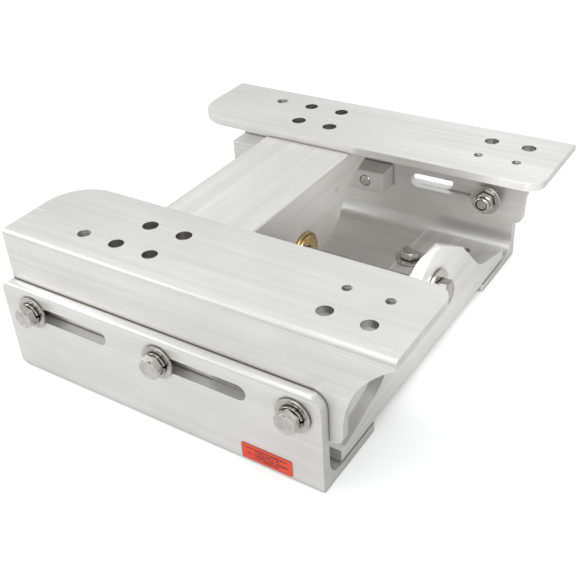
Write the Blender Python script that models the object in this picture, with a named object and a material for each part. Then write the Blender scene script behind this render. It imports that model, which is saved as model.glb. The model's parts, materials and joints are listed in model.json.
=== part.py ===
"""Manual jack plate for an outboard motor: a sliding carriage in a channel, driven by a screw.

Frame: metres, +Z up, plate lying on its transom face. The origin is under the middle of the plate,
X runs the way the carriage slides, Y runs across, from the front side (-Y) to the far side (+Y).
All dimensions below are in millimetres and are turned into metres when a mesh is made.
"""
import math

import bmesh
import bpy

MM = 0.001
GAP = 0.3                 # seating gap left between two pieces that touch
SMALL_ARC_STEP = math.radians(18)   # angle covered by one segment of a small fillet
LARGE_ARC_STEP = math.radians(8)    # the same for a fillet over LARGE_RADIUS
LARGE_RADIUS = 9.0

# Transom channel: a wide U with its base on the boat's transom
CHANNEL_X = (-202.0, 146.0)
CHANNEL_HALF_WIDTH = 204.6
CHANNEL_SIDE = 10.0
CHANNEL_BASE = 8.0
CHANNEL_HEIGHT = 97.2
CHANNEL_FILLET = 18.0
CHANNEL_TOP_ROUND = 5.5
CHANNEL_BOTTOM_ROUND = 3.0
CHANNEL_TOP_LEFT = 9.0
CHANNEL_BOTTOM_LEFT = 6.5
CHANNEL_TOP_RIGHT = 15.0
NOTCH_HALF_WIDTH = 118.0
NOTCH_DEPTH = 25.0
NOTCH_ROUND = 8.0

# Carriage brackets: one L-shaped rail on each side
RAIL_X = (-196.0, 202.0)
RAIL_TOP = 149.5
RAIL_BOTTOM = 49.5
RAIL_OUTER = 194.0
RAIL_INNER = 92.4
RAIL_THICK = 8.0
RAIL_OUTER_ROUND = 5.5
RAIL_FILLET = 3.0
RAIL_LEFT_CORNER = 42.0
RAIL_RIGHT_CORNER = 17.0
# Lower edge of the rail's right end, from the flange down (X, Z)
RAIL_END_CURVE = (
    (202.0, 141.5), (194.7, 136.7), (184.4, 127.5), (174.6, 116.5), (167.7, 104.5),
    (162.4, 90.5), (159.5, 78.5), (158.4, 68.0), (158.0, 56.5), (156.3, 52.0), (152.5, 49.5),
)

# Holes in the flanges. The outer rows are 327 mm apart, the left inner rows 251 mm, and the columns
# 38.1 mm, as in the usual outboard bolt pattern. The small tapped holes at the right are not part of
# it: their rows are 258.8 mm apart.
OUTER_ROW = 163.5
INNER_ROW_LEFT = 125.4
INNER_ROW_RIGHT = 129.4
COLUMN_PITCH = 38.1
OUTER_LEFT_X = tuple(-121.0 + COLUMN_PITCH * step for step in range(3))
INNER_LEFT_X = tuple(-75.7 + COLUMN_PITCH * step for step in range(2))
RIGHT_X = tuple(127.5 + COLUMN_PITCH * step for step in range(2))
TAPPED_R = 6.4
MOTOR_BOLT_R = 7.1
INNER_HOLE_R = 7.5
SMALL_TAPPED_R = 4.4

# Side bolts, slots and slide travel
BOLT_Z = 74.2
BOLT_R = 6.35
BOLT_HOLE_R = 6.65
TRAVEL = 82.5
SLOT_R = 8.0
CARRIAGE_BOLT_X = (-165.5, -14.8)
FIXED_BOLT_X = 120.8
WEB_SLOT_X = (37.8, 124.4)   # end centres of the slot that passes over the fixed bolt
BUSH_R = 7.6
BUSH_END = 177.6          # distance from the middle to the bush's inner end
HEX_FLAT = 9.53           # half the width across flats of a 1/2 in bolt
HEAD_HEIGHT = 7.9
WASHER_R = 16.0
WASHER_THICK = 2.4
LOCK_R = 10.8
LOCK_THICK = 2.8

# Bars that the carriage bolts thread into
BAR_X = (-195.5, 7.7)
BAR_SIZE = 25.4

# Cross beam: an upside-down U under the flanges
BEAM_X = (-96.3, 4.3)
BEAM_TOP = 141.2
BEAM_THICK = 9.5
BEAM_HALF_WIDTH = 182.6
BEAM_FILLET = 6.0
BEAM_BOTTOM = 49.5
# Lower edge of the beam's end plates, from the middle outwards (Y, Z, corner radius)
BEAM_EDGE = (
    (25.0, 49.5, 8.0), (31.0, 62.5, 6.0), (52.0, 64.0, 10.0), (69.5, 78.0, 8.0),
    (81.0, 97.0, 12.0), (108.0, 115.5, 20.0), (157.8, 131.7, 0.0),
)

# End bracket: a thick angle that carries the jack screw
ANGLE_X = (50.0, 145.0)
UPRIGHT_THICK = 11.0
ANGLE_HALF_WIDTH = 174.7
ANGLE_LEG_TOP = 21.5
ANGLE_TOP = 117.2
ANGLE_FILLET = 4.0
TOE_ROUND = 9.5           # rounded inner edge at the end of each leg of the angle
# Outline of the upright leg, from the middle outwards (Y, Z, corner radius)
ANGLE_EDGE = (
    (8.0, 117.2, 10.0), (59.0, 88.0, 12.0), (107.0, 38.5, 50.0), (148.0, 27.5, 30.0), (168.0, 21.5, 6.0),
)
ANGLE_BOLTS = ((66.0, 112.0),)
SPARE_HOLE = (111.5, 155.0)
SPARE_HOLE_R = 4.2

# Jack screw (5/8-11) and its nut
SCREW_Z = 73.5
SCREW_R = 7.94
SCREW_BORE_R = 8.24
SCREW_END_X = -26.0
SCREW_HOLE_R = 8.6
JACK_FLAT = 11.9          # half the width across flats of a 5/8 in head
JACK_HEAD = 10.0
JACK_WASHER_R = 21.5
JACK_WASHER_THICK = 3.0
LOCK_NUT_THICK = 10.5
BRASS_BARREL_R = 15.0
BRASS_FLANGE_R = 22.0
BRASS_FACE_R = 19.0
BRASS_LENGTH = 17.0
BRASS_FLANGE_THICK = 2.0
BRASS_FACE_THICK = 2.6

# Transom bolt holes in the channel's base
TRANSOM_X = (-151.0, -112.9)
TRANSOM_ROWS = (125.4, 163.5)
TRANSOM_R = 7.1

# Label on the front side
LABEL_X = (66.0, 116.0)
LABEL_Z = (3.6, 20.4)
LABEL_THICK = 0.3

COLOURS = {
    "aluminium": ((0.80, 0.80, 0.81, 1.0), 0.38, 1.0),
    "stainless": ((0.60, 0.58, 0.55, 1.0), 0.30, 1.0),
    "brass": ((0.74, 0.56, 0.26, 1.0), 0.34, 1.0),
    "label": ((0.80, 0.17, 0.06, 1.0), 0.45, 0.0),
}


def clear_scene():
    """Remove every object that the start-up file holds."""
    for item in list(bpy.data.objects):
        bpy.data.objects.remove(item, do_unlink=True)


def new_material(name, look):
    """Make one named Principled material from an entry of COLOURS."""
    colour, roughness, metallic = COLOURS[look]
    material = bpy.data.materials.new(name)
    material.use_nodes = True
    shader = material.node_tree.nodes["Principled BSDF"]
    shader.inputs["Base Color"].default_value = colour
    shader.inputs["Roughness"].default_value = roughness
    shader.inputs["Metallic"].default_value = metallic
    material.diffuse_color = colour
    return material


def new_object(name, mesh):
    """Link a mesh to the scene as an object."""
    item = bpy.data.objects.new(name, mesh)
    bpy.context.scene.collection.objects.link(item)
    return item


def mesh_from(name, points, faces):
    """Make a mesh in metres from points in millimetres, with its faces turned outwards."""
    mesh = bpy.data.meshes.new(name)
    mesh.from_pydata([(x * MM, y * MM, z * MM) for x, y, z in points], [], faces)
    work = bmesh.new()
    work.from_mesh(mesh)
    bmesh.ops.recalc_face_normals(work, faces=work.faces)
    work.to_mesh(mesh)
    work.free()
    return mesh


def rounded(corners, closed=True):
    """Replace each corner (a, b, radius) of an outline with a fillet arc of that radius."""
    points = []
    count = len(corners)
    for index, (a, b, radius) in enumerate(corners):
        at_end = not closed and index in (0, count - 1)
        if radius == 0 or at_end:
            points.append((a, b))
            continue
        before = corners[index - 1]
        after = corners[(index + 1) % count]
        into = (before[0] - a, before[1] - b)
        out = (after[0] - a, after[1] - b)
        into_length = math.hypot(*into)
        out_length = math.hypot(*out)
        into = (into[0] / into_length, into[1] / into_length)
        out = (out[0] / out_length, out[1] / out_length)
        half_angle = math.acos(max(-1.0, min(1.0, into[0] * out[0] + into[1] * out[1]))) / 2
        back_off = radius / math.tan(half_angle)
        reach = radius / math.sin(half_angle)
        bisector = (into[0] + out[0], into[1] + out[1])
        length = math.hypot(*bisector)
        centre = (a + bisector[0] / length * reach, b + bisector[1] / length * reach)
        start = (a + into[0] * back_off, b + into[1] * back_off)
        finish = (a + out[0] * back_off, b + out[1] * back_off)
        first = math.atan2(start[1] - centre[1], start[0] - centre[0])
        last = math.atan2(finish[1] - centre[1], finish[0] - centre[0])
        sweep = (last - first + math.pi) % (2 * math.pi) - math.pi
        step_angle = LARGE_ARC_STEP if radius > LARGE_RADIUS else SMALL_ARC_STEP
        steps = max(2, math.ceil(abs(sweep) / step_angle))
        for step in range(steps + 1):
            angle = first + sweep * step / steps
            points.append((centre[0] + radius * math.cos(angle), centre[1] + radius * math.sin(angle)))
    return points


def prism(outline, axis, low, high):
    """Points and faces of an outline extruded along one axis from low to high."""
    place = {
        "X": lambda a, b, c: (c, a, b),
        "Y": lambda a, b, c: (a, c, b),
        "Z": lambda a, b, c: (a, b, c),
    }[axis]
    count = len(outline)
    points = [place(a, b, low) for a, b in outline] + [place(a, b, high) for a, b in outline]
    faces = [list(range(count)), list(range(2 * count - 1, count - 1, -1))]
    for index in range(count):
        following = (index + 1) % count
        faces.append([index, following, following + count, index + count])
    return points, faces


def merged(shapes):
    """Join the points and faces of several separate shapes."""
    points = []
    faces = []
    for shape_points, shape_faces in shapes:
        offset = len(points)
        points.extend(shape_points)
        faces.extend([[corner + offset for corner in face] for face in shape_faces])
    return points, faces


def circle(centre, radius, segments=24):
    """Points of a circle drawn as a polygon."""
    steps = [2 * math.pi * step / segments for step in range(segments)]
    return [(centre[0] + radius * math.cos(t), centre[1] + radius * math.sin(t)) for t in steps]


def slot(left, right, height, radius, segments=12):
    """Points of a slot with round ends whose end centres are at left and right."""
    points = []
    for centre, start in ((right, -math.pi / 2), (left, math.pi / 2)):
        for step in range(segments + 1):
            angle = start + math.pi * step / segments
            points.append((centre + radius * math.cos(angle), height + radius * math.sin(angle)))
    return points


def bake_modifier(item):
    """Turn the object's modifiers into its mesh."""
    graph = bpy.context.evaluated_depsgraph_get()
    mesh = bpy.data.meshes.new_from_object(item.evaluated_get(graph))
    item.modifiers.clear()
    item.data = mesh


def cut(item, shapes):
    """Cut the given separate shapes out of an object."""
    cutter = new_object("cutter", mesh_from("cutter", *merged(shapes)))
    change = item.modifiers.new("cut", "BOOLEAN")
    change.operation = "DIFFERENCE"
    change.solver = "EXACT"
    change.object = cutter
    bake_modifier(item)
    bpy.data.objects.remove(cutter, do_unlink=True)


def tidy_mesh(item):
    """Merge stray points, drop slivers and dissolve needless edges inside flat faces."""
    work = bmesh.new()
    work.from_mesh(item.data)
    bmesh.ops.remove_doubles(work, verts=work.verts, dist=0.00001)
    bmesh.ops.dissolve_degenerate(work, edges=work.edges, dist=0.00001)
    bmesh.ops.dissolve_limit(work, angle_limit=math.radians(0.5), verts=work.verts, edges=work.edges)
    bmesh.ops.recalc_face_normals(work, faces=work.faces)
    work.to_mesh(item.data)
    work.free()


def finish(item, look, smooth_angle=35):
    """Give an object its material and smooth its round faces."""
    item.data.name = item.name
    item.data.materials.clear()
    item.data.materials.append(new_material(item.name, look))
    item.data.shade_smooth()
    item.data.set_sharp_from_angle(angle=math.radians(smooth_angle))


def plate(name, outline, axis, low, high):
    """A new object made by extruding an outline."""
    return new_object(name, mesh_from(name, *prism(outline, axis, low, high)))


# Channel


def corner_cutter(x, z, toward_x, toward_z, radius):
    """Outline in XZ of the waste outside a rounded corner whose sharp point is at (x, z)."""
    outside = 2.0
    points = [
        (x - toward_x * outside, z - toward_z * outside, 0),
        (x + toward_x * radius, z - toward_z * outside, 0),
    ]
    centre = (x + toward_x * radius, z + toward_z * radius)
    steps = math.ceil(math.pi / 2 / (LARGE_ARC_STEP if radius > LARGE_RADIUS else SMALL_ARC_STEP))
    outline = [(a, b) for a, b, _ in points]
    for step in range(steps + 1):
        angle = math.pi / 2 * step / steps
        across = centre[0] - toward_x * radius * math.sin(angle)
        upward = centre[1] - toward_z * radius * math.cos(angle)
        outline.append((across, upward))
    outline.append((x - toward_x * outside, z + toward_z * radius))
    return outline


def make_channel():
    """The U-shaped channel with slots, bolt holes, a notch at the screw end and transom holes."""
    outer = CHANNEL_HALF_WIDTH
    inner = outer - CHANNEL_SIDE
    profile = rounded([
        (-outer, 0, CHANNEL_BOTTOM_ROUND), (outer, 0, CHANNEL_BOTTOM_ROUND),
        (outer, CHANNEL_HEIGHT, CHANNEL_TOP_ROUND), (inner, CHANNEL_HEIGHT, 1.0),
        (inner, CHANNEL_BASE, CHANNEL_FILLET), (-inner, CHANNEL_BASE, CHANNEL_FILLET),
        (-inner, CHANNEL_HEIGHT, 1.0), (-outer, CHANNEL_HEIGHT, CHANNEL_TOP_ROUND),
    ])
    left, right = CHANNEL_X
    channel = plate("channel", profile, "X", left, right)
    reach = outer + 5
    cut(channel, [
        prism(corner_cutter(left, CHANNEL_HEIGHT, 1, -1, CHANNEL_TOP_LEFT), "Y", -reach, reach),
        prism(corner_cutter(left, 0, 1, 1, CHANNEL_BOTTOM_LEFT), "Y", -reach, reach),
        prism(corner_cutter(right, CHANNEL_HEIGHT, -1, -1, CHANNEL_TOP_RIGHT), "Y", -reach, reach),
    ])
    cuts = []
    for bolt_x in CARRIAGE_BOLT_X:
        cuts.append(prism(slot(bolt_x, bolt_x + TRAVEL, BOLT_Z, SLOT_R), "Y", -reach, reach))
    cuts.append(prism(circle((FIXED_BOLT_X, BOLT_Z), BOLT_HOLE_R), "Y", -reach, reach))
    cut(channel, cuts)
    half = NOTCH_HALF_WIDTH
    notch = rounded([
        (right - NOTCH_DEPTH, -half, NOTCH_ROUND), (right, -half, 3.0), (right, -half - 6, 0),
        (right + 5, -half - 6, 0), (right + 5, half + 6, 0), (right, half + 6, 0),
        (right, half, 3.0), (right - NOTCH_DEPTH, half, NOTCH_ROUND),
    ])
    cuts = [prism(notch, "Z", -5, CHANNEL_BASE + 5)]
    for side in (-1, 1):
        for row in TRANSOM_ROWS:
            for x in TRANSOM_X:
                cuts.append(prism(circle((x, side * row), TRANSOM_R), "Z", -5, CHANNEL_BASE + 5))
        for x, y in ANGLE_BOLTS:
            cuts.append(prism(circle((x, side * y), BOLT_HOLE_R), "Z", -5, CHANNEL_BASE + 5))
    cut(channel, cuts)
    tidy_mesh(channel)
    finish(channel, "aluminium")
    return channel


# Carriage


def smooth_curve(points, pieces=3):
    """Points of a Catmull-Rom curve through the given points, with its two ends kept."""
    ends = [points[0], *points, points[-1]]
    curve = []
    for index in range(1, len(ends) - 2):
        p0, p1, p2, p3 = ends[index - 1:index + 3]
        for step in range(pieces):
            t = step / pieces
            weights = (
                (-t + 2 * t ** 2 - t ** 3) / 2, (2 - 5 * t ** 2 + 3 * t ** 3) / 2,
                (t + 4 * t ** 2 - 3 * t ** 3) / 2, (t ** 3 - t ** 2) / 2,
            )
            curve.append(tuple(
                sum(weight * point[axis] for weight, point in zip(weights, (p0, p1, p2, p3)))
                for axis in (0, 1)
            ))
    curve.append(points[-1])
    return curve


def flange_corner(x, toward_x, radius, side):
    """Outline in XY of the waste outside a rounded inner corner of a rail's flange."""
    outline = corner_cutter(x, RAIL_INNER, toward_x, 1, radius)
    return [(a, side * b) for a, b in outline]


def make_rail(name, side):
    """One L-shaped rail: flange for the motor above, web that slides in the channel below."""
    profile = rounded([
        (side * RAIL_INNER, RAIL_TOP, 0), (side * RAIL_OUTER, RAIL_TOP, RAIL_OUTER_ROUND),
        (side * RAIL_OUTER, RAIL_BOTTOM, 0), (side * (RAIL_OUTER - RAIL_THICK), RAIL_BOTTOM, 0),
        (side * (RAIL_OUTER - RAIL_THICK), RAIL_TOP - RAIL_THICK, RAIL_FILLET),
        (side * RAIL_INNER, RAIL_TOP - RAIL_THICK, 0),
    ])
    left, right = RAIL_X
    rail = plate(name, profile, "X", left, right)
    above = RAIL_TOP + 5
    below = RAIL_TOP - RAIL_THICK - 5
    web = sorted((side * (RAIL_OUTER + 5), side * (RAIL_OUTER - RAIL_THICK - RAIL_FILLET - 1)))
    curve = smooth_curve(RAIL_END_CURVE)
    waste = [(right + 8, curve[0][1]), (right + 8, RAIL_BOTTOM - 6), (curve[-1][0], RAIL_BOTTOM - 6)]
    waste += reversed(curve)
    cut(rail, [
        prism(flange_corner(left, 1, RAIL_LEFT_CORNER, side), "Z", below, above),
        prism(flange_corner(right, -1, RAIL_RIGHT_CORNER, side), "Z", below, above),
        prism(waste, "Y", *web),
    ])
    cuts = []
    web_slot = slot(*WEB_SLOT_X, BOLT_Z, SLOT_R)
    cuts.append(prism(web_slot, "Y", *web))
    for bolt_x in CARRIAGE_BOLT_X:
        cuts.append(prism(circle((bolt_x, BOLT_Z), BOLT_HOLE_R), "Y", *web))
    holes = [(OUTER_LEFT_X[0], OUTER_ROW, TAPPED_R)]
    holes += [(x, OUTER_ROW, MOTOR_BOLT_R) for x in OUTER_LEFT_X[1:] + RIGHT_X]
    holes += [(x, INNER_ROW_LEFT, INNER_HOLE_R) for x in INNER_LEFT_X]
    holes += [(x, INNER_ROW_RIGHT, SMALL_TAPPED_R) for x in RIGHT_X]
    for x, y, radius in holes:
        cuts.append(prism(circle((x, side * y), radius), "Z", below, above))
    cut(rail, cuts)
    tidy_mesh(rail)
    finish(rail, "aluminium")
    return rail


def make_beam():
    """The cross beam under the flanges, with the seat of the brass nut in its right plate."""
    left, right = BEAM_X
    thick = BEAM_THICK
    profile = rounded([
        (left, BEAM_TOP, 2.0), (right, BEAM_TOP, 2.0), (right, BEAM_BOTTOM - 5, 0),
        (right - thick, BEAM_BOTTOM - 5, 0), (right - thick, BEAM_TOP - thick, BEAM_FILLET),
        (left + thick, BEAM_TOP - thick, BEAM_FILLET), (left + thick, BEAM_BOTTOM - 5, 0),
        (left, BEAM_BOTTOM - 5, 0),
    ])
    beam = plate("cross_beam", profile, "Y", -BEAM_HALF_WIDTH, BEAM_HALF_WIDTH)
    reach = BEAM_HALF_WIDTH + 5
    half = rounded([(0, BEAM_BOTTOM, 0), *BEAM_EDGE, (reach, BEAM_TOP - thick, 0)], closed=False)[1:]
    edge = [(-y, z) for y, z in reversed(half)] + half
    waste = edge + [(reach, BEAM_BOTTOM - 12), (-reach, BEAM_BOTTOM - 12)]
    cut(beam, [prism(waste, "X", left - 5, right + 5)])
    cuts = [
        prism(circle((0, SCREW_Z), BRASS_BARREL_R + GAP, 30), "X", right - thick - 5, right + 5),
        prism(circle((0, SCREW_Z), SCREW_HOLE_R + 2), "X", left - 5, left + thick + 5),
    ]
    for side in (-1, 1):
        for x in OUTER_LEFT_X[1:]:
            hole = circle((x, side * OUTER_ROW), MOTOR_BOLT_R)
            cuts.append(prism(hole, "Z", BEAM_TOP - thick - 5, BEAM_TOP + 5))
        for x in INNER_LEFT_X:
            hole = circle((x, side * INNER_ROW_LEFT), INNER_HOLE_R)
            cuts.append(prism(hole, "Z", BEAM_TOP - thick - 5, BEAM_TOP + 5))
    cut(beam, cuts)
    tidy_mesh(beam)
    finish(beam, "aluminium")
    return beam


def make_bar(name, side):
    """The square bar inside a rail's web that the carriage bolts thread into."""
    outer = RAIL_OUTER - RAIL_THICK - GAP
    low, high = sorted((side * outer, side * (outer - BAR_SIZE)))
    half = BAR_SIZE / 2
    profile = rounded([
        (low, BOLT_Z - half, 1.2), (high, BOLT_Z - half, 1.2),
        (high, BOLT_Z + half, 1.2), (low, BOLT_Z + half, 1.2),
    ])
    bar = plate(name, profile, "X", *BAR_X)
    cut(bar, [prism(circle((x, BOLT_Z), BOLT_HOLE_R), "Y", low - 5, high + 5) for x in CARRIAGE_BOLT_X])
    tidy_mesh(bar)
    finish(bar, "aluminium")
    return bar


def make_end_angle():
    """The thick angle on the channel's base whose upright leg carries the jack screw."""
    left, right = ANGLE_X
    bottom = CHANNEL_BASE + GAP
    inner = right - UPRIGHT_THICK
    profile = rounded([
        (left, bottom, 1.0), (right, bottom, 2.0), (right, ANGLE_TOP, 0), (inner, ANGLE_TOP, TOE_ROUND),
        (inner, ANGLE_LEG_TOP, ANGLE_FILLET), (left, ANGLE_LEG_TOP, TOE_ROUND),
    ])
    angle = plate("end_angle", profile, "Y", -ANGLE_HALF_WIDTH, ANGLE_HALF_WIDTH)
    reach = ANGLE_HALF_WIDTH + 6
    half = rounded([(0, ANGLE_TOP, 0), *ANGLE_EDGE, (reach, ANGLE_LEG_TOP, 0)], closed=False)[1:]
    edge = [(-y, z) for y, z in reversed(half)] + half
    waste = edge + [(reach, ANGLE_TOP + 5), (-reach, ANGLE_TOP + 5)]
    cut(angle, [prism(waste, "X", inner - ANGLE_FILLET - 1, right + 5)])
    cuts = [prism(circle((0, SCREW_Z), SCREW_HOLE_R, 24), "X", inner - 5, right + 5)]
    for side in (-1, 1):
        for x, y in ANGLE_BOLTS:
            hole = circle((x, side * y), BOLT_HOLE_R)
            cuts.append(prism(hole, "Z", bottom - 4, ANGLE_LEG_TOP + 5))
        spare = circle((SPARE_HOLE[0], side * SPARE_HOLE[1]), SPARE_HOLE_R, 16)
        cuts.append(prism(spare, "Z", bottom - 4, ANGLE_LEG_TOP + 15))
    cut(angle, cuts)
    tidy_mesh(angle)
    finish(angle, "aluminium")
    return angle


# Turned and hexagonal pieces: stacks of rings around the piece's own Z axis


def ring(size, height, hexagonal, limit, segments):
    """One ring of points: a circle, or a hexagon clipped to the circle of radius limit."""
    points = []
    for step in range(segments):
        angle = 2 * math.pi * step / segments
        radius = size
        if hexagonal:
            from_flat = (angle + math.pi / 6) % (math.pi / 3) - math.pi / 6
            radius = min(size / math.cos(from_flat), limit)
        points.append((radius * math.cos(angle), radius * math.sin(angle), height))
    return points


def ring_stack(name, rings, segments, looped):
    """A closed mesh through a list of rings (size, height, hexagonal, limit).

    A looped stack returns to its first ring, which leaves a hole down the middle.
    Otherwise the first and last rings are capped.
    """
    points = []
    for size, height, hexagonal, limit in rings:
        points.extend(ring(size, height, hexagonal, limit, segments))
    faces = []
    count = len(rings)
    for index in range(count if looped else count - 1):
        lower = index * segments
        upper = ((index + 1) % count) * segments
        for step in range(segments):
            following = (step + 1) % segments
            faces.append([lower + step, lower + following, upper + following, upper + step])
    if not looped:
        faces.append(list(range(segments)))
        faces.append(list(range((count - 1) * segments, count * segments)))
    return mesh_from(name, points, faces)


def washer_mesh(name, outer, inner, thick, segments=24):
    """A flat washer lying on its seat."""
    rings = [
        (inner, 0, False, 0), (outer, 0, False, 0), (outer, thick, False, 0), (inner, thick, False, 0),
    ]
    return ring_stack(name, rings, segments, looped=True)


def lock_washer_mesh(name, outer, inner, thick):
    """A split lock washer: a square wire ring with a slanted gap."""
    segments = 15
    gap_angle = math.radians(14)
    rise = 0.3
    points = []
    for step in range(segments + 1):
        angle = gap_angle / 2 + (2 * math.pi - gap_angle) * step / segments
        lift = rise * step / segments
        top = thick - rise + lift
        for radius, height in ((inner, lift), (outer, lift), (outer, top), (inner, top)):
            points.append((radius * math.cos(angle), radius * math.sin(angle), height))
    faces = [[0, 1, 2, 3], [4 * segments + corner for corner in (3, 2, 1, 0)]]
    for step in range(segments):
        for corner in range(4):
            following = (corner + 1) % 4
            low = 4 * step
            high = 4 * (step + 1)
            faces.append([low + corner, low + following, high + following, high + corner])
    return mesh_from(name, points, faces)


def bolt_mesh(name, flat, head, shank, length, segments=18):
    """A hex bolt: shank below the seat at height 0, head above it."""
    corner = flat / math.cos(math.pi / 6)
    chamfer = 0.8
    rings = [
        (shank - chamfer, -length, False, 0), (shank, chamfer - length, False, 0),
        (shank, 0, False, 0), (flat, 0, True, corner), (flat, head - 1.2, True, corner),
        (flat - 0.9, head, False, 0),
    ]
    return ring_stack(name, rings, segments, looped=False)


def nut_mesh(name, flat, bore, height, collar, segments=18):
    """A hex nut on its seat at height 0, with a round collar above the hexagon when collar is over 0."""
    corner = flat / math.cos(math.pi / 6)
    rings = [
        (bore, 0, False, 0), (flat - 0.5, 0, False, 0), (flat, 0.7, True, corner),
        (flat, height - 0.7, True, corner), (flat - 0.5, height, False, 0),
    ]
    top = height
    if collar > 0:
        top = height + collar
        rings.append((flat - 1.6, height + 0.2, False, 0))
        rings.append((flat - 1.8, top - 0.8, False, 0))
        rings.append((flat - 2.8, top, False, 0))
    rings.append((bore, top, False, 0))
    return ring_stack(name, rings, segments, looped=True)


def place(name, mesh, look, location, rotation):
    """A copy of a mesh at a place in millimetres."""
    item = new_object(name, mesh.copy())
    item.location = [value * MM for value in location]
    item.rotation_euler = rotation
    finish(item, look)
    return item


def outward(side):
    """Rotation that turns a piece's own Z axis to point away from the middle on one side."""
    return (-side * math.pi / 2, 0, 0)


def make_side_bolts():
    """Bolt, split washer and flat washer at each side bolt; the fixed bolts also have nuts inside."""
    seat = CHANNEL_HALF_WIDTH + GAP
    lock_seat = seat + WASHER_THICK + GAP
    head_seat = lock_seat + LOCK_THICK + GAP
    bar_inner = RAIL_OUTER - RAIL_THICK - GAP - BAR_SIZE
    flat_washer = washer_mesh("flat_washer", WASHER_R, BOLT_HOLE_R, WASHER_THICK)
    lock_washer = lock_washer_mesh("lock_washer", LOCK_R, BOLT_HOLE_R, LOCK_THICK)
    carriage_bolt = bolt_mesh("side_bolt", HEX_FLAT, HEAD_HEIGHT, BOLT_R, head_seat - bar_inner)
    bush_start = CHANNEL_HALF_WIDTH - CHANNEL_SIDE - GAP
    bush = washer_mesh("slide_bush", BUSH_R, BOLT_HOLE_R, bush_start - BUSH_END)
    washer_seat = BUSH_END - GAP
    nut_height = 7.5
    nut_collar = 3.2
    nut_seat = washer_seat - WASHER_THICK - GAP
    nut_end = nut_seat - nut_height - nut_collar
    bolt_recess = 1.5
    fixed_bolt = bolt_mesh("fixed_bolt", HEX_FLAT, HEAD_HEIGHT, BOLT_R, head_seat - nut_end - bolt_recess)
    lock_nut = nut_mesh("nylon_nut", HEX_FLAT, BOLT_HOLE_R, nut_height, nut_collar)
    for side, word in ((-1, "front"), (1, "far")):
        stations = [(CARRIAGE_BOLT_X[0], "1", carriage_bolt), (CARRIAGE_BOLT_X[1], "2", carriage_bolt)]
        stations.append((FIXED_BOLT_X, "3", fixed_bolt))
        for x, number, bolt in stations:
            turn = outward(side)
            label = f"{word}_{number}"
            place(f"flat_washer_{label}", flat_washer, "stainless", (x, side * seat, BOLT_Z), turn)
            place(f"lock_washer_{label}", lock_washer, "stainless", (x, side * lock_seat, BOLT_Z), turn)
            place(f"side_bolt_{label}", bolt, "stainless", (x, side * head_seat, BOLT_Z), turn)
        inward = outward(-side)
        bush_at = (FIXED_BOLT_X, side * bush_start, BOLT_Z)
        washer_at = (FIXED_BOLT_X, side * washer_seat, BOLT_Z)
        nut_at = (FIXED_BOLT_X, side * nut_seat, BOLT_Z)
        place(f"slide_bush_{word}", bush, "stainless", bush_at, inward)
        place(f"inner_washer_{word}", flat_washer, "stainless", washer_at, inward)
        place(f"lock_nut_{word}", lock_nut, "stainless", nut_at, inward)


def make_base_bolts():
    """The bolts that hold the end angle on the channel's base."""
    washer_z = ANGLE_LEG_TOP + GAP
    head_z = washer_z + WASHER_THICK + GAP
    washer = washer_mesh("base_washer", WASHER_R, BOLT_HOLE_R, WASHER_THICK)
    bolt = bolt_mesh("base_bolt", HEX_FLAT, HEAD_HEIGHT, BOLT_R, head_z - 0.6)
    for side, word in ((-1, "front"), (1, "far")):
        for number, (x, y) in enumerate(ANGLE_BOLTS, start=1):
            place(f"base_washer_{word}_{number}", washer, "stainless", (x, side * y, washer_z), (0, 0, 0))
            place(f"base_bolt_{word}_{number}", bolt, "stainless", (x, side * y, head_z), (0, 0, 0))


def make_jack_screw():
    """The screw, its washers and its lock nut, all on one axis along X."""
    along_x = (0, math.pi / 2, 0)
    against_x = (0, -math.pi / 2, 0)
    outer_face = ANGLE_X[1]
    inner_face = ANGLE_X[1] - UPRIGHT_THICK
    washer_at = outer_face + GAP
    head_at = washer_at + JACK_WASHER_THICK + GAP
    washer = washer_mesh("jack_washer", JACK_WASHER_R, SCREW_BORE_R, JACK_WASHER_THICK, 30)
    screw = bolt_mesh("jack_screw", JACK_FLAT, JACK_HEAD, SCREW_R, head_at - SCREW_END_X, 24)
    nut = nut_mesh("jack_lock_nut", JACK_FLAT, SCREW_BORE_R, LOCK_NUT_THICK, 0.0, 24)
    place("jack_washer_outer", washer, "stainless", (washer_at, 0, SCREW_Z), along_x)
    place("jack_screw", screw, "stainless", (head_at, 0, SCREW_Z), along_x)
    place("jack_washer_inner", washer, "stainless", (inner_face - GAP, 0, SCREW_Z), against_x)
    nut_at = inner_face - GAP - JACK_WASHER_THICK - GAP
    place("jack_lock_nut", nut, "stainless", (nut_at, 0, SCREW_Z), against_x)


def make_brass_nut():
    """The flanged brass nut seated in the cross beam's right plate."""
    edge = 0.5
    flange = BRASS_FLANGE_THICK
    face = flange + BRASS_FACE_THICK
    rings = [
        (SCREW_BORE_R, -BRASS_LENGTH, False, 0), (BRASS_BARREL_R, -BRASS_LENGTH, False, 0),
        (BRASS_BARREL_R, 0, False, 0),
        (BRASS_FLANGE_R, 0, False, 0), (BRASS_FLANGE_R, flange - edge, False, 0),
        (BRASS_FLANGE_R - edge, flange, False, 0), (BRASS_FACE_R, flange, False, 0),
        (BRASS_FACE_R, face - edge, False, 0), (BRASS_FACE_R - edge, face, False, 0),
        (SCREW_BORE_R + 1.0, face, False, 0), (SCREW_BORE_R, face - 1.0, False, 0),
    ]
    mesh = ring_stack("brass_nut", rings, 30, looped=True)
    place("brass_nut", mesh, "brass", (BEAM_X[1] + GAP, 0, SCREW_Z), (0, math.pi / 2, 0))


def make_label():
    """A thin rectangular label on the front side of the channel."""
    face = -CHANNEL_HALF_WIDTH - GAP
    (left, right), (low, high) = LABEL_X, LABEL_Z
    outline = rounded([(left, low, 1.5), (right, low, 1.5), (right, high, 1.5), (left, high, 1.5)])
    label = plate("label", outline, "Y", face - LABEL_THICK, face)
    finish(label, "label")
    return label


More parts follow.
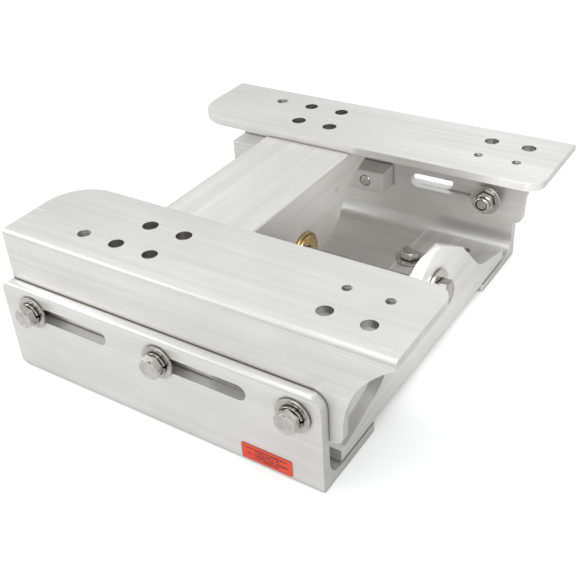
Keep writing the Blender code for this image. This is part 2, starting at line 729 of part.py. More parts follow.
clear_scene()
make_channel()
make_end_angle()
make_base_bolts()
make_side_bolts()
make_rail("rail_front", -1)
make_rail("rail_far", 1)
make_beam()
make_bar("bar_front", -1)
make_bar("bar_far", 1)
make_brass_nut()
make_jack_screw()
make_label()
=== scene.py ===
import json
import math

import bmesh
import bpy
import numpy as np
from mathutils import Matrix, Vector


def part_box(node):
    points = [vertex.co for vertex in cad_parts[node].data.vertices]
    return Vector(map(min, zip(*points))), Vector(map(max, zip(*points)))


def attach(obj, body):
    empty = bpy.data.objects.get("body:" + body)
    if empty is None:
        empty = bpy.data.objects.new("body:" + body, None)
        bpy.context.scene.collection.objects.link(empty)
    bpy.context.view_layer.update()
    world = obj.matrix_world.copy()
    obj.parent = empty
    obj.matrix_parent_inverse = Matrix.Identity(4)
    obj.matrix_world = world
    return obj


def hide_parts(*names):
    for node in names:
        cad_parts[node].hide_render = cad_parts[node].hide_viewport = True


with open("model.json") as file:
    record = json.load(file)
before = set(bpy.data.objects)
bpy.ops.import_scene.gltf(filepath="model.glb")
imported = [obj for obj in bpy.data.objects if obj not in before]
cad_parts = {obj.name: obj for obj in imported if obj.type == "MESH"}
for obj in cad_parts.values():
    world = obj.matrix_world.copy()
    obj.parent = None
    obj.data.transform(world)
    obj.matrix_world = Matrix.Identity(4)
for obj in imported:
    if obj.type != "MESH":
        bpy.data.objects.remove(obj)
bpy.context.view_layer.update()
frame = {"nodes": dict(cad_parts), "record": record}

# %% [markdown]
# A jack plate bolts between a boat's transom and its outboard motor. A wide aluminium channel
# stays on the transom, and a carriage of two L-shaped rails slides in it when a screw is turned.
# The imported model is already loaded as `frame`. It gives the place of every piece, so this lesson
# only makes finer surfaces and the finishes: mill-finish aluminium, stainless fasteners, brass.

MM = 0.001

# %% [markdown]
# The camera stands in front of the plate on its screw side and looks down on it. Its place and
# turn are given in the plate's own frame. A small shift moves the picture without turning it.

# %% Camera
CAMERA_PLACE = (0.4187, -0.6295, 0.5461)
CAMERA_TURN = (56.38, 4.01, 33.77)
LENS = 56.08
SHIFT = (0.0392, -0.0171)

camera_data = bpy.data.cameras.new("camera")
camera_data.lens = LENS
camera_data.sensor_width = 36.0
camera_data.shift_x, camera_data.shift_y = SHIFT
camera_data.clip_start = 0.01
camera = bpy.data.objects.new("camera", camera_data)
camera.location = CAMERA_PLACE
camera.rotation_euler = [math.radians(angle) for angle in CAMERA_TURN]
bpy.context.scene.collection.objects.link(camera)
bpy.context.scene.camera = camera
print("lens", LENS, "mm")

# %% [markdown]
# Bare metal shows mostly what surrounds it, so the light is planned as a room. Seen directly, the
# floor and the sky are white. Mirrored in metal, the floor is greyer and the sky has soft dark
# patches, like the gaps between studio screens, and polished bolts need them to show their shape.
# A broad light hangs above, a smaller one stands at the left, and a small panel just over the
# opening lights the inside.

# %% Floor, sky and lights
FLOOR_SIZE = 6.0
FLOOR_DROP = 0.0004
FLOOR_SEEN = 0.95
FLOOR_GLOW = 0.22
FLOOR_MIRRORED = 0.80
SKY_LEVEL = 1.03
SKY_TINT = (0.975, 0.99, 1.0)
PANEL_SHADE = (0.08, 0.08, 0.08)
PANEL_SCALE = 2.3
PANEL_EDGE = (0.38, 0.50)
WHITE = (1.0, 1.0, 1.0, 1.0)

scene = bpy.context.scene
scene.view_settings.view_transform = "Standard"
world = bpy.data.worlds.new("studio")
world.use_nodes = True
scene.world = world
sky = world.node_tree.nodes["Background"]
sky.inputs["Strength"].default_value = SKY_LEVEL
direction = world.node_tree.nodes.new("ShaderNodeTexCoord")
panels = world.node_tree.nodes.new("ShaderNodeTexNoise")
panels.inputs["Scale"].default_value = PANEL_SCALE
panels.inputs["Detail"].default_value = 1.0
panel_ramp = world.node_tree.nodes.new("ShaderNodeValToRGB")
panel_ramp.color_ramp.elements[0].position = PANEL_EDGE[0]
panel_ramp.color_ramp.elements[0].color = (*PANEL_SHADE, 1.0)
panel_ramp.color_ramp.elements[1].position = PANEL_EDGE[1]
panel_ramp.color_ramp.elements[1].color = (*SKY_TINT, 1.0)
world.node_tree.links.new(direction.outputs["Generated"], panels.inputs["Vector"])
world.node_tree.links.new(panels.outputs["Fac"], panel_ramp.inputs["Fac"])
looked_at = world.node_tree.nodes.new("ShaderNodeLightPath")
backdrop = world.node_tree.nodes.new("ShaderNodeMix")
backdrop.data_type = "RGBA"
backdrop_colours = [socket for socket in backdrop.inputs if socket.type == "RGBA"]
backdrop_colours[1].default_value = WHITE
world.node_tree.links.new(looked_at.outputs["Is Camera Ray"], backdrop.inputs["Factor"])
world.node_tree.links.new(panel_ramp.outputs["Color"], backdrop_colours[0])
backdrop_result = next(socket for socket in backdrop.outputs if socket.type == "RGBA")
world.node_tree.links.new(backdrop_result, sky.inputs["Color"])


def area_light(name, place, aim, size, power):
    """A square area light at a place, turned to face an aim point."""
    data = bpy.data.lights.new(name, "AREA")
    data.size = size
    data.energy = power
    light = bpy.data.objects.new(name, data)
    light.location = place
    away = np.array(place) - np.array(aim)
    flat = math.hypot(away[0], away[1])
    light.rotation_euler = (math.atan2(flat, away[2]), 0, math.atan2(away[0], -away[1]))
    bpy.context.scene.collection.objects.link(light)
    return light


area_light("top_light", (0.35, -0.35, 1.9), (0.05, 0.05, 0.05), 1.8, 12)
area_light("inner_light", (0.18, -0.02, 0.175), (0.14, 0.186, 0.085), 0.10, 0.15)
area_light("left_light", (-1.6, -0.9, 1.1), (0, 0, 0.05), 0.7, 5)


def floor_material(name, seen, mirrored, glow):
    """A matt floor: white where it is looked at, greyer where bare metal mirrors it."""
    material = bpy.data.materials.new(name)
    material.use_nodes = True
    tree = material.node_tree
    shader = tree.nodes["Principled BSDF"]
    shader.inputs["Roughness"].default_value = 0.9
    shader.inputs["Specular IOR Level"].default_value = 0.1
    path = tree.nodes.new("ShaderNodeLightPath")
    tone = tree.nodes.new("ShaderNodeMapRange")
    tone.inputs["To Min"].default_value = mirrored
    tone.inputs["To Max"].default_value = seen
    tree.links.new(path.outputs["Is Camera Ray"], tone.inputs["Value"])
    tree.links.new(tone.outputs["Result"], shader.inputs["Base Color"])
    lift = tree.nodes.new("ShaderNodeMath")
    lift.operation = "MULTIPLY"
    lift.inputs[1].default_value = glow
    tree.links.new(path.outputs["Is Camera Ray"], lift.inputs[0])
    tree.links.new(lift.outputs[0], shader.inputs["Emission Strength"])
    shader.inputs["Emission Color"].default_value = WHITE
    return material


half = FLOOR_SIZE / 2
floor_mesh = bpy.data.meshes.new("floor")
floor_corners = [(-half, -half, 0), (half, -half, 0), (half, half, 0), (-half, half, 0)]
floor_mesh.from_pydata(floor_corners, [], [(0, 1, 2, 3)])
floor = bpy.data.objects.new("floor", floor_mesh)
floor.location = (0, 0, -FLOOR_DROP)
floor_mesh.materials.append(floor_material("pale_floor", FLOOR_SEEN, FLOOR_MIRRORED, FLOOR_GLOW))
scene.collection.objects.link(floor)
print("floor", FLOOR_SIZE, "m square")

# %% [markdown]
# Extruded aluminium carries fine die lines along the way it was pushed out. A noise texture
# squeezed hard across the lines and left long along them draws exactly that. The group below
# returns a line pattern, a slow cloudy stain and a height, and each material mixes them.

# %% Shared shader groups


def add_socket(tree, name, direction, kind, value=None):
    """Declare one input or output of a node group."""
    socket = tree.interface.new_socket(name=name, in_out=direction, socket_type=kind)
    if value is not None:
        socket.default_value = value
    return socket


def link_math(tree, operation, first, second, clamp=False):
    """A Math node; each operand is a socket or a number."""
    node = tree.nodes.new("ShaderNodeMath")
    node.operation = operation
    node.use_clamp = clamp
    for index, operand in enumerate((first, second)):
        if operand is None:
            continue
        if isinstance(operand, (int, float)):
            node.inputs[index].default_value = operand
        else:
            tree.links.new(operand, node.inputs[index])
    return node.outputs[0]


def noise(tree, vector, scale, detail, roughness=0.5):
    """A noise texture read at a vector; returns its value."""
    node = tree.nodes.new("ShaderNodeTexNoise")
    node.inputs["Scale"].default_value = scale
    node.inputs["Detail"].default_value = detail
    node.inputs["Roughness"].default_value = roughness
    tree.links.new(vector, node.inputs["Vector"])
    return node.outputs["Fac"]


def stretched(tree, vector, scale):
    """A vector multiplied by a different factor along each axis."""
    node = tree.nodes.new("ShaderNodeVectorMath")
    node.operation = "MULTIPLY"
    tree.links.new(vector, node.inputs[0])
    node.inputs[1].default_value = scale
    return node.outputs[0]


def remap(tree, value, low, high, new_low=0.0, new_high=1.0):
    """Map a range of a value onto another range, clamped."""
    node = tree.nodes.new("ShaderNodeMapRange")
    node.inputs["From Min"].default_value = low
    node.inputs["From Max"].default_value = high
    node.inputs["To Min"].default_value = new_low
    node.inputs["To Max"].default_value = new_high
    tree.links.new(value, node.inputs["Value"])
    return node.outputs["Result"]


def make_die_lines():
    """Die lines along the group's X axis: fine lines, broad bands, and a cloudy stain."""
    tree = bpy.data.node_groups.new("die_lines", "ShaderNodeTree")
    add_socket(tree, "Vector", "INPUT", "NodeSocketVector")
    add_socket(tree, "Lines", "OUTPUT", "NodeSocketFloat")
    add_socket(tree, "Bands", "OUTPUT", "NodeSocketFloat")
    add_socket(tree, "Stain", "OUTPUT", "NodeSocketFloat")
    add_socket(tree, "Height", "OUTPUT", "NodeSocketFloat")
    enter = tree.nodes.new("NodeGroupInput")
    leave = tree.nodes.new("NodeGroupOutput")
    vector = enter.outputs["Vector"]
    fine = noise(tree, stretched(tree, vector, (6.0, 900.0, 900.0)), 1.0, 3.0, 0.6)
    broad = noise(tree, stretched(tree, vector, (1.5, 90.0, 90.0)), 1.0, 3.0, 0.55)
    cloud = noise(tree, stretched(tree, vector, (7.0, 13.0, 13.0)), 1.0, 5.0, 0.62)
    tree.links.new(remap(tree, fine, 0.3, 0.7), leave.inputs["Lines"])
    tree.links.new(remap(tree, broad, 0.3, 0.7), leave.inputs["Bands"])
    tree.links.new(remap(tree, cloud, 0.35, 0.7), leave.inputs["Stain"])
    fine_height = link_math(tree, "MULTIPLY", fine, 0.5)
    broad_height = link_math(tree, "MULTIPLY", broad, 1.0)
    height = link_math(tree, "ADD", fine_height, broad_height)
    tree.links.new(height, leave.inputs["Height"])
    return tree


def make_scratches():
    """Thin stray scratches: the narrow zero crossings of a warped noise, kept only in patches."""
    tree = bpy.data.node_groups.new("scratches", "ShaderNodeTree")
    add_socket(tree, "Vector", "INPUT", "NodeSocketVector")
    add_socket(tree, "Mask", "OUTPUT", "NodeSocketFloat")
    enter = tree.nodes.new("NodeGroupInput")
    leave = tree.nodes.new("NodeGroupOutput")
    vector = enter.outputs["Vector"]
    wander = noise(tree, stretched(tree, vector, (16.0, 60.0, 60.0)), 1.0, 1.0)
    near_zero = link_math(tree, "ABSOLUTE", link_math(tree, "SUBTRACT", wander, 0.5), None)
    line = remap(tree, near_zero, 0.0, 0.004, 1.0, 0.0)
    patch = remap(tree, noise(tree, stretched(tree, vector, (22.0, 22.0, 22.0)), 1.0, 2.0), 0.52, 0.62)
    tree.links.new(link_math(tree, "MULTIPLY", line, patch), leave.inputs["Mask"])
    return tree


def make_edge_highlight():
    """How near a point is to a sharp edge, from the bend of a rounded normal; the materials paint a highlight
    along edges with it.
    """
    tree = bpy.data.node_groups.new("painted_edge_glint", "ShaderNodeTree")
    add_socket(tree, "Radius", "INPUT", "NodeSocketFloat", 0.0009)
    add_socket(tree, "Mask", "OUTPUT", "NodeSocketFloat")
    enter = tree.nodes.new("NodeGroupInput")
    leave = tree.nodes.new("NodeGroupOutput")
    rounded_normal = tree.nodes.new("ShaderNodeBevel")
    rounded_normal.samples = 4
    tree.links.new(enter.outputs["Radius"], rounded_normal.inputs["Radius"])
    surface = tree.nodes.new("ShaderNodeNewGeometry")
    agreement = tree.nodes.new("ShaderNodeVectorMath")
    agreement.operation = "DOT_PRODUCT"
    tree.links.new(rounded_normal.outputs["Normal"], agreement.inputs[0])
    tree.links.new(surface.outputs["True Normal"], agreement.inputs[1])
    tree.links.new(remap(tree, agreement.outputs["Value"], 0.86, 0.995, 1.0, 0.0), leave.inputs["Mask"])
    return tree


def make_crevice():
    """How enclosed a point is by close neighbours, from 0 in the open to 1 deep in a gap; the materials paint
    shade with it.
    """
    tree = bpy.data.node_groups.new("crevice", "ShaderNodeTree")
    add_socket(tree, "Reach", "INPUT", "NodeSocketFloat", 0.003)
    add_socket(tree, "Mask", "OUTPUT", "NodeSocketFloat")
    enter = tree.nodes.new("NodeGroupInput")
    leave = tree.nodes.new("NodeGroupOutput")
    shelter = tree.nodes.new("ShaderNodeAmbientOcclusion")
    shelter.samples = 8
    tree.links.new(enter.outputs["Reach"], shelter.inputs["Distance"])
    tree.links.new(remap(tree, shelter.outputs["AO"], 0.35, 0.95, 1.0, 0.0), leave.inputs["Mask"])
    return tree


CREVICE = make_crevice()
DIE_LINES = make_die_lines()
SCRATCHES = make_scratches()
EDGE_HIGHLIGHT = make_edge_highlight()
print("groups", [tree.name for tree in bpy.data.node_groups])

# %% [markdown]
# The aluminium is bare metal: a pale grey mirror made soft by its roughness. The colour is a little darker in
# the lines and stains and lighter in scratches; it also carries a painted highlight along sharp edges,
# painted shade in narrow gaps and painted shade on the end faces.

# %% Aluminium


def new_shader(name, colour, roughness, metallic):
    """A material with a Principled shader; returns the material, its tree and the shader."""
    material = bpy.data.materials.new(name)
    material.use_nodes = True
    tree = material.node_tree
    shader = tree.nodes["Principled BSDF"]
    shader.inputs["Base Color"].default_value = (*colour, 1.0)
    shader.inputs["Roughness"].default_value = roughness
    shader.inputs["Metallic"].default_value = metallic
    return material, tree, shader


def group_node(tree, group, vector=None):
    """Place a node group in a material and feed its vector."""
    node = tree.nodes.new("ShaderNodeGroup")
    node.node_tree = group
    if vector is not None:
        tree.links.new(vector, node.inputs["Vector"])
    return node


def object_vector(tree, turn=(0, 0, 0), shift=(0, 0, 0)):
    """Object coordinates, turned and shifted by a Mapping node."""
    where = tree.nodes.new("ShaderNodeTexCoord")
    mapping = tree.nodes.new("ShaderNodeMapping")
    mapping.inputs["Rotation"].default_value = turn
    mapping.inputs["Location"].default_value = shift
    tree.links.new(where.outputs["Object"], mapping.inputs["Vector"])
    return mapping.outputs["Vector"]


def mix_colour(tree, factor, first, second):
    """Mix two colours; each is a socket or a tuple."""
    node = tree.nodes.new("ShaderNodeMix")
    node.data_type = "RGBA"
    tree.links.new(factor, node.inputs["Factor"])
    for name, colour in (("A", first), ("B", second)):
        socket = next(item for item in node.inputs if item.name == name and item.type == "RGBA")
        if isinstance(colour, tuple):
            socket.default_value = (*colour, 1.0)
        else:
            tree.links.new(colour, socket)
    return next(item for item in node.outputs if item.type == "RGBA")


def bump(tree, shader, height, strength, distance):
    """Feed a height through a Bump node into the shader's normal."""
    node = tree.nodes.new("ShaderNodeBump")
    node.inputs["Strength"].default_value = strength
    node.inputs["Distance"].default_value = distance
    tree.links.new(height, node.inputs["Height"])
    tree.links.new(node.outputs["Normal"], shader.inputs["Normal"])


END_FACE_SHADE = 0.35        # how much the end faces of the extrusions are darkened by painted shade
# Colour of the scratches, and of the painted highlight along sharp edges.
HIGHLIGHT_AND_SCRATCH_METAL = (0.97, 0.97, 0.975)
END_FACE_SHADE_TONE = (0.42, 0.42, 0.41)
# Painted shade: the dark tone mixed into narrow gaps between parts, and how far the gap test reaches.
CREVICE_SHADE_TONE = (0.20, 0.19, 0.17)
CREVICE_REACH = 0.0045
OXIDE_METALLIC = 0.74    # the thin oxide skin scatters some light, so it is not a pure mirror


def aluminium(name, turn=(0, 0, 0), shift=(0, 0, 0), light=(0.90, 0.893, 0.872),
              dark=(0.66, 0.652, 0.625), roughness=0.33, grain=0.25):
    """Mill-finish aluminium with die lines along X after the turn."""
    material, tree, shader = new_shader(name, light, roughness, OXIDE_METALLIC)
    vector = object_vector(tree, turn, shift)
    lines = group_node(tree, DIE_LINES, vector)
    marks = group_node(tree, SCRATCHES, vector)
    edge_glint = group_node(tree, EDGE_HIGHLIGHT)
    streak = link_math(tree, "MULTIPLY", lines.outputs["Lines"], 0.35)
    streak = link_math(tree, "ADD", streak, link_math(tree, "MULTIPLY", lines.outputs["Bands"], 0.35))
    cloud = link_math(tree, "MULTIPLY", lines.outputs["Stain"], 0.30)
    streak = link_math(tree, "ADD", streak, cloud, clamp=True)
    base = mix_colour(tree, streak, light, dark)
    # Painted highlight along sharp edges, joined with the scratches.
    painted_edge_highlight = link_math(tree, "MULTIPLY", edge_glint.outputs["Mask"], 0.7)
    scratch = link_math(tree, "MULTIPLY", marks.outputs["Mask"], 0.6)
    bright = link_math(tree, "MAXIMUM", painted_edge_highlight, scratch)
    base = mix_colour(tree, bright, base, HIGHLIGHT_AND_SCRATCH_METAL)
    # Painted shade: faces that look along the extrusion, its end faces, are mixed towards a grey tone.
    face_normal = tree.nodes.new("ShaderNodeSeparateXYZ")
    facing = tree.nodes.new("ShaderNodeTexCoord")
    tree.links.new(facing.outputs["Normal"], face_normal.inputs[0])
    along = face_normal.outputs[1 if turn[2] else 0]
    end_shade = remap(tree, link_math(tree, "ABSOLUTE", along, None), 0.90, 0.97, 0.0, END_FACE_SHADE)
    base = mix_colour(tree, end_shade, base, END_FACE_SHADE_TONE)
    # Painted shade: the colour is darkened in narrow gaps between parts.
    gap = group_node(tree, CREVICE)
    gap.inputs["Reach"].default_value = CREVICE_REACH
    base = mix_colour(tree, link_math(tree, "MULTIPLY", gap.outputs["Mask"], 0.55), base, CREVICE_SHADE_TONE)
    tree.links.new(base, shader.inputs["Base Color"])
    matt = remap(tree, lines.outputs["Bands"], 0.0, 1.0, roughness - 0.06, roughness + 0.08)
    matt = link_math(tree, "ADD", matt, link_math(tree, "MULTIPLY", lines.outputs["Stain"], 0.07))
    matt = link_math(tree, "SUBTRACT", matt, link_math(tree, "MULTIPLY", bright, 0.1), clamp=True)
    tree.links.new(matt, shader.inputs["Roughness"])
    scratch_depth = link_math(tree, "MULTIPLY", marks.outputs["Mask"], 0.5)
    height = link_math(tree, "SUBTRACT", lines.outputs["Height"], scratch_depth)
    bump(tree, shader, height, grain, 0.0002)
    return material


LENGTHWISE = aluminium("rail_aluminium")
CHANNEL_METAL = aluminium("channel_aluminium", shift=(0.3, 0.0, 0.11), dark=(0.67, 0.665, 0.635))
CROSSWISE = aluminium("cross_aluminium", turn=(0, 0, math.pi / 2))
BAR_METAL = aluminium("bar_aluminium", shift=(0.7, 0.2, 0.3), roughness=0.42)
print("aluminium ready")

# %% [markdown]
# The big plates are right in shape, but their edges are perfectly sharp and real cut edges never
# are. A copy of each plate is merged, its flat faces are dissolved into whole polygons, and a
# Bevel modifier breaks the edges, which then catch a thin line of light.

# %% Plates with broken edges
BODY_OF = {node: body for body, nodes in frame["record"]["behaviour"]["bodies"].items() for node in nodes}


def smooth_by_angle(mesh, angle=32):
    """Smooth shading that stays sharp at edges over an angle."""
    mesh.shade_smooth()
    mesh.set_sharp_from_angle(angle=math.radians(angle))


def adopt(piece, node, material):
    """Give a finished piece its material and its body, and hide the CAD node that it stands for."""
    piece.data.materials.clear()
    piece.data.materials.append(material)
    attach(piece, BODY_OF[node])
    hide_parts(node)


def refined_plate(node, material, width=0.5, segments=2):
    """A merged copy of a plate with its sharp edges rounded by a Bevel modifier."""
    mesh = frame["nodes"][node].data.copy()
    mesh.name = node + "_plate"
    work = bmesh.new()
    work.from_mesh(mesh)
    bmesh.ops.remove_doubles(work, verts=work.verts, dist=0.000005)
    bmesh.ops.dissolve_limit(work, angle_limit=math.radians(0.6), verts=work.verts, edges=work.edges)
    work.to_mesh(mesh)
    work.free()
    smooth_by_angle(mesh)
    plate = bpy.data.objects.new(node + "_plate", mesh)
    bpy.context.scene.collection.objects.link(plate)
    edge = plate.modifiers.new("broken_edges", "BEVEL")
    edge.width = width * MM
    edge.segments = segments
    edge.limit_method = "ANGLE"
    edge.angle_limit = math.radians(40)
    edge.harden_normals = True
    adopt(plate, node, material)
    return plate


PLATES = {
    "channel": CHANNEL_METAL, "rail_front": LENGTHWISE, "rail_far": LENGTHWISE,
    "cross_beam": CROSSWISE, "end_angle": CROSSWISE, "bar_front": BAR_METAL, "bar_far": BAR_METAL,
}
for plate_node, plate_metal in PLATES.items():
    refined = refined_plate(plate_node, plate_metal)
    print(plate_node, "faces", len(refined.data.polygons))

# %% [markdown]
# Bolts, washers and nuts are all bodies of revolution, some of them cut to a hexagon. Each is a
# grid of points: rows follow a profile, columns go around. The local place of every point is
# stored as an attribute, so that turning marks follow each piece wherever it sits.

# %% Grids of points made into meshes
AXES = {
    "+X": ((0, 1, 0), (0, 0, 1), (1, 0, 0)),
    "-X": ((0, 0, 1), (0, 1, 0), (-1, 0, 0)),
    "+Y": ((0, 0, 1), (1, 0, 0), (0, 1, 0)),
    "-Y": ((1, 0, 0), (0, 0, 1), (0, -1, 0)),
    "+Z": ((1, 0, 0), (0, 1, 0), (0, 0, 1)),
}


def grid_faces(rows, columns, wrap_rows, wrap_columns):
    """Quads between neighbouring rows and columns of a grid, as one integer array."""
    row = np.arange(rows if wrap_rows else rows - 1)[:, None]
    column = np.arange(columns if wrap_columns else columns - 1)[None, :]
    next_row = (row + 1) % rows
    next_column = (column + 1) % columns
    corners = (row * columns + column, row * columns + next_column,
               next_row * columns + next_column, next_row * columns + column)
    return np.stack(corners, axis=-1).reshape(-1, 4)


def grid_piece(name, local, centre, axis, wrap_rows, wrap_columns, capped=False):
    """An object from local grid points in millimetres, with Z turned to an axis and moved to a centre.

    Point = centre + local x * first side + local y * second side + local z * axis.
    """
    rows, columns = local.shape[:2]
    faces = grid_faces(rows, columns, wrap_rows, wrap_columns).tolist()
    if capped:
        faces.append(list(range(columns)))
        faces.append(list(range((rows - 1) * columns, rows * columns)))
    flat = local.reshape(-1, 3) * MM
    points = flat @ np.array(AXES[axis], dtype=float) + np.array(centre)
    mesh = bpy.data.meshes.new(name)
    mesh.from_pydata(points.tolist(), [], faces)
    stored = mesh.attributes.new("local_place", "FLOAT_VECTOR", "POINT")
    stored.data.foreach_set("vector", flat.astype(np.float32).ravel())
    work = bmesh.new()
    work.from_mesh(mesh)
    bmesh.ops.remove_doubles(work, verts=work.verts, dist=0.0000005)
    bmesh.ops.recalc_face_normals(work, faces=work.faces)
    work.to_mesh(mesh)
    work.free()
    smooth_by_angle(mesh, 14)
    piece = bpy.data.objects.new(name, mesh)
    bpy.context.scene.collection.objects.link(piece)
    return piece


def turned(profile, segments=72, spin=0.0):
    """Grid of a profile of (radius, height, flat) rows turned about Z.

    Radius at an angle = the row's radius, and where the row has a flat, no more than
    flat / cos(angle to the nearest flat), which is a hexagon.
    """
    radius, height, flat = np.array(profile, dtype=float).T[:, :, None]
    angle = np.linspace(0, 2 * np.pi, segments, endpoint=False)[None, :]
    to_flat = (angle - spin + np.pi / 6) % (np.pi / 3) - np.pi / 6
    hexagon = np.where(flat > 0, flat / np.cos(to_flat), np.inf)
    reach = np.minimum(radius, hexagon)
    return np.stack([reach * np.cos(angle), reach * np.sin(angle), height + 0 * angle], axis=-1)


def chamfered(flat, low, high, slope=0.55, rows=5):
    """Rows of a hexagon between two heights whose corners are cut by a cone at the top."""
    corner = flat / math.cos(math.pi / 6) + 0.05
    top = flat * 0.975
    drop = (corner - top) * slope
    steps = [(corner, low, flat), (corner, high - drop, flat)]
    for step in range(1, rows + 1):
        share = step / rows
        steps.append((corner + (top - corner) * share, high - drop * (1 - share), flat))
    return steps


print("grid of a 3 x 4 patch has", len(grid_faces(3, 4, False, False)), "faces")

# %% [markdown]
# Stainless steel is darker and smoother than the aluminium. Its turning marks are fine rings, so
# the noise reads only the distance from the axis and the height along it. The same recipe with
# a yellow colour gives the turned brass nut.

# %% Turned metals
# Painted shade: the dark tone mixed into narrow gaps on turned parts.
GAP_SHADE_TONE = (0.035, 0.032, 0.028)


def turned_metal(name, light, dark, roughness, ring_scale=2600.0, grain=0.18):
    """Stainless steel or brass with turning rings and faint stains, a painted highlight on sharp edges and
    painted shade in narrow gaps.
    """
    material, tree, shader = new_shader(name, light, roughness, 1.0)
    stored = tree.nodes.new("ShaderNodeAttribute")
    stored.attribute_name = "local_place"
    parts = tree.nodes.new("ShaderNodeSeparateXYZ")
    tree.links.new(stored.outputs["Vector"], parts.inputs[0])
    squares = []
    for side in (0, 1):
        offset = link_math(tree, "ABSOLUTE", parts.outputs[side], None)
        squares.append(link_math(tree, "POWER", offset, 2.0))
    from_axis = link_math(tree, "SQRT", link_math(tree, "ADD", *squares), None)
    joined = tree.nodes.new("ShaderNodeCombineXYZ")
    tree.links.new(from_axis, joined.inputs[0])
    tree.links.new(parts.outputs[2], joined.inputs[2])
    rings = noise(tree, joined.outputs[0], ring_scale, 2.0)
    stain = noise(tree, object_vector(tree), 120.0, 4.0, 0.6)
    edge_glint = group_node(tree, EDGE_HIGHLIGHT)
    edge_glint.inputs["Radius"].default_value = 0.0006
    shade = link_math(tree, "MULTIPLY", remap(tree, rings, 0.3, 0.7), 0.45)
    stained = link_math(tree, "MULTIPLY", remap(tree, stain, 0.35, 0.7), 0.5)
    shade = link_math(tree, "ADD", shade, stained, clamp=True)
    base = mix_colour(tree, shade, light, dark)
    # Painted highlight: sharp edges are mixed towards a brighter copy of the colour.
    bright = tuple(min(1.0, channel * 1.25) for channel in light)
    base = mix_colour(tree, link_math(tree, "MULTIPLY", edge_glint.outputs["Mask"], 0.7), base, bright)
    # Painted shade: the colour is darkened in narrow gaps between parts.
    gap = group_node(tree, CREVICE)
    base = mix_colour(tree, link_math(tree, "MULTIPLY", gap.outputs["Mask"], 0.9), base, GAP_SHADE_TONE)
    tree.links.new(base, shader.inputs["Base Color"])
    matt = remap(tree, stain, 0.3, 0.7, roughness - 0.05, roughness + 0.08)
    tree.links.new(matt, shader.inputs["Roughness"])
    bump(tree, shader, rings, grain, 0.0001)
    return material


STAINLESS = turned_metal("bolt_steel", (0.72, 0.70, 0.67), (0.40, 0.385, 0.355), 0.13)
WASHER_STEEL = turned_metal("washer_steel", (0.66, 0.645, 0.61), (0.40, 0.385, 0.355), 0.19)
THREAD_STEEL = turned_metal("thread_steel", (0.50, 0.485, 0.46), (0.34, 0.325, 0.30), 0.24)
BRASS = turned_metal("nut_brass", (0.80, 0.60, 0.30), (0.60, 0.42, 0.18), 0.24)
print("turned metals ready")

# %% [markdown]
# The sizes below are those of the inch hardware: half-inch bolts with three-quarter-inch heads,
# and a five-eighths jack screw with eleven threads to the inch. Every seat is read from the box
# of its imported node, so each fine piece sits exactly where the plain one did.

# %% Hardware sizes
HEX_FLAT = 9.53
HEAD_HEIGHT = 7.9
SHANK = 6.35
HOLE = 6.65
JACK_FLAT = 11.9
JACK_HEAD = 10.0
JACK_SHANK = 7.94
JACK_HOLE = 8.24
THREAD_PITCH = 25.4 / 11
THREAD_DEPTH = 1.25
WASHER_RADIUS = 16.0
INNER_WASHER_RADIUS = 15.8
SPRING_WASHER_RADIUS = 10.8
BUSH_RADIUS = 7.6
JACK_WASHER_RADIUS = 21.5


def seat(node, axis):
    """Where a node's box starts along an axis, and its middle across it, in metres."""
    low, high = (np.array(corner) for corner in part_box(node))
    middle = (low + high) / 2
    index = "XYZ".index(axis[1])
    middle[index] = low[index] if axis[0] == "+" else high[index]
    return middle


def length_of(node, axis):
    """A node's length along an axis, in millimetres."""
    low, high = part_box(node)
    index = "XYZ".index(axis[1])
    return (high[index] - low[index]) / MM


def washer_profile(outer, inner, thick, edge=0.35):
    """Closed profile of a flat washer with rounded outer edges."""
    return [
        (inner, 0, 0), (outer - edge, 0, 0), (outer - edge * 0.3, edge * 0.3, 0), (outer, edge, 0),
        (outer, thick - edge, 0), (outer - edge * 0.3, thick - edge * 0.3, 0), (outer - edge, thick, 0),
        (inner + edge, thick, 0), (inner, thick - edge, 0),
    ]


def make_washer(node, axis, outer, inner, material):
    """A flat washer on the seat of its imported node."""
    grid = turned(washer_profile(outer, inner, length_of(node, axis)))
    adopt(grid_piece(node + "_fine", grid, seat(node, axis), axis, True, True), node, material)


def bolt_profile(flat, head, shank, length):
    """Profile of a hex bolt from the end of its shank, past the seat at height 0, to the head's top."""
    rows = [
        (0, -length, 0), (shank - 0.9, -length, 0), (shank, 0.9 - length, 0), (shank, -0.01, 0),
        (shank, 0, 0), (flat * 0.94, 0, 0), (flat * 0.94, 0.3, 0),
    ]
    rows += chamfered(flat, 0.3, head - 0.25)
    rows += [(flat * 0.95, head, 0), (flat * 0.70, head, 0), (flat * 0.68, head - 0.2, 0), (0, head - 0.2, 0)]
    return rows


def make_bolt(node, axis, flat, head, shank, spin):
    """A hex bolt whose head looks along the axis."""
    length = length_of(node, axis) - head
    top = seat(node, ("-" if axis[0] == "+" else "+") + axis[1])
    centre = top.copy()
    index = "XYZ".index(axis[1])
    centre[index] += (-head if axis[0] == "+" else head) * MM
    grid = turned(bolt_profile(flat, head, shank, length), spin=spin)
    adopt(grid_piece(node + "_fine", grid, centre, axis, False, True), node, STAINLESS)


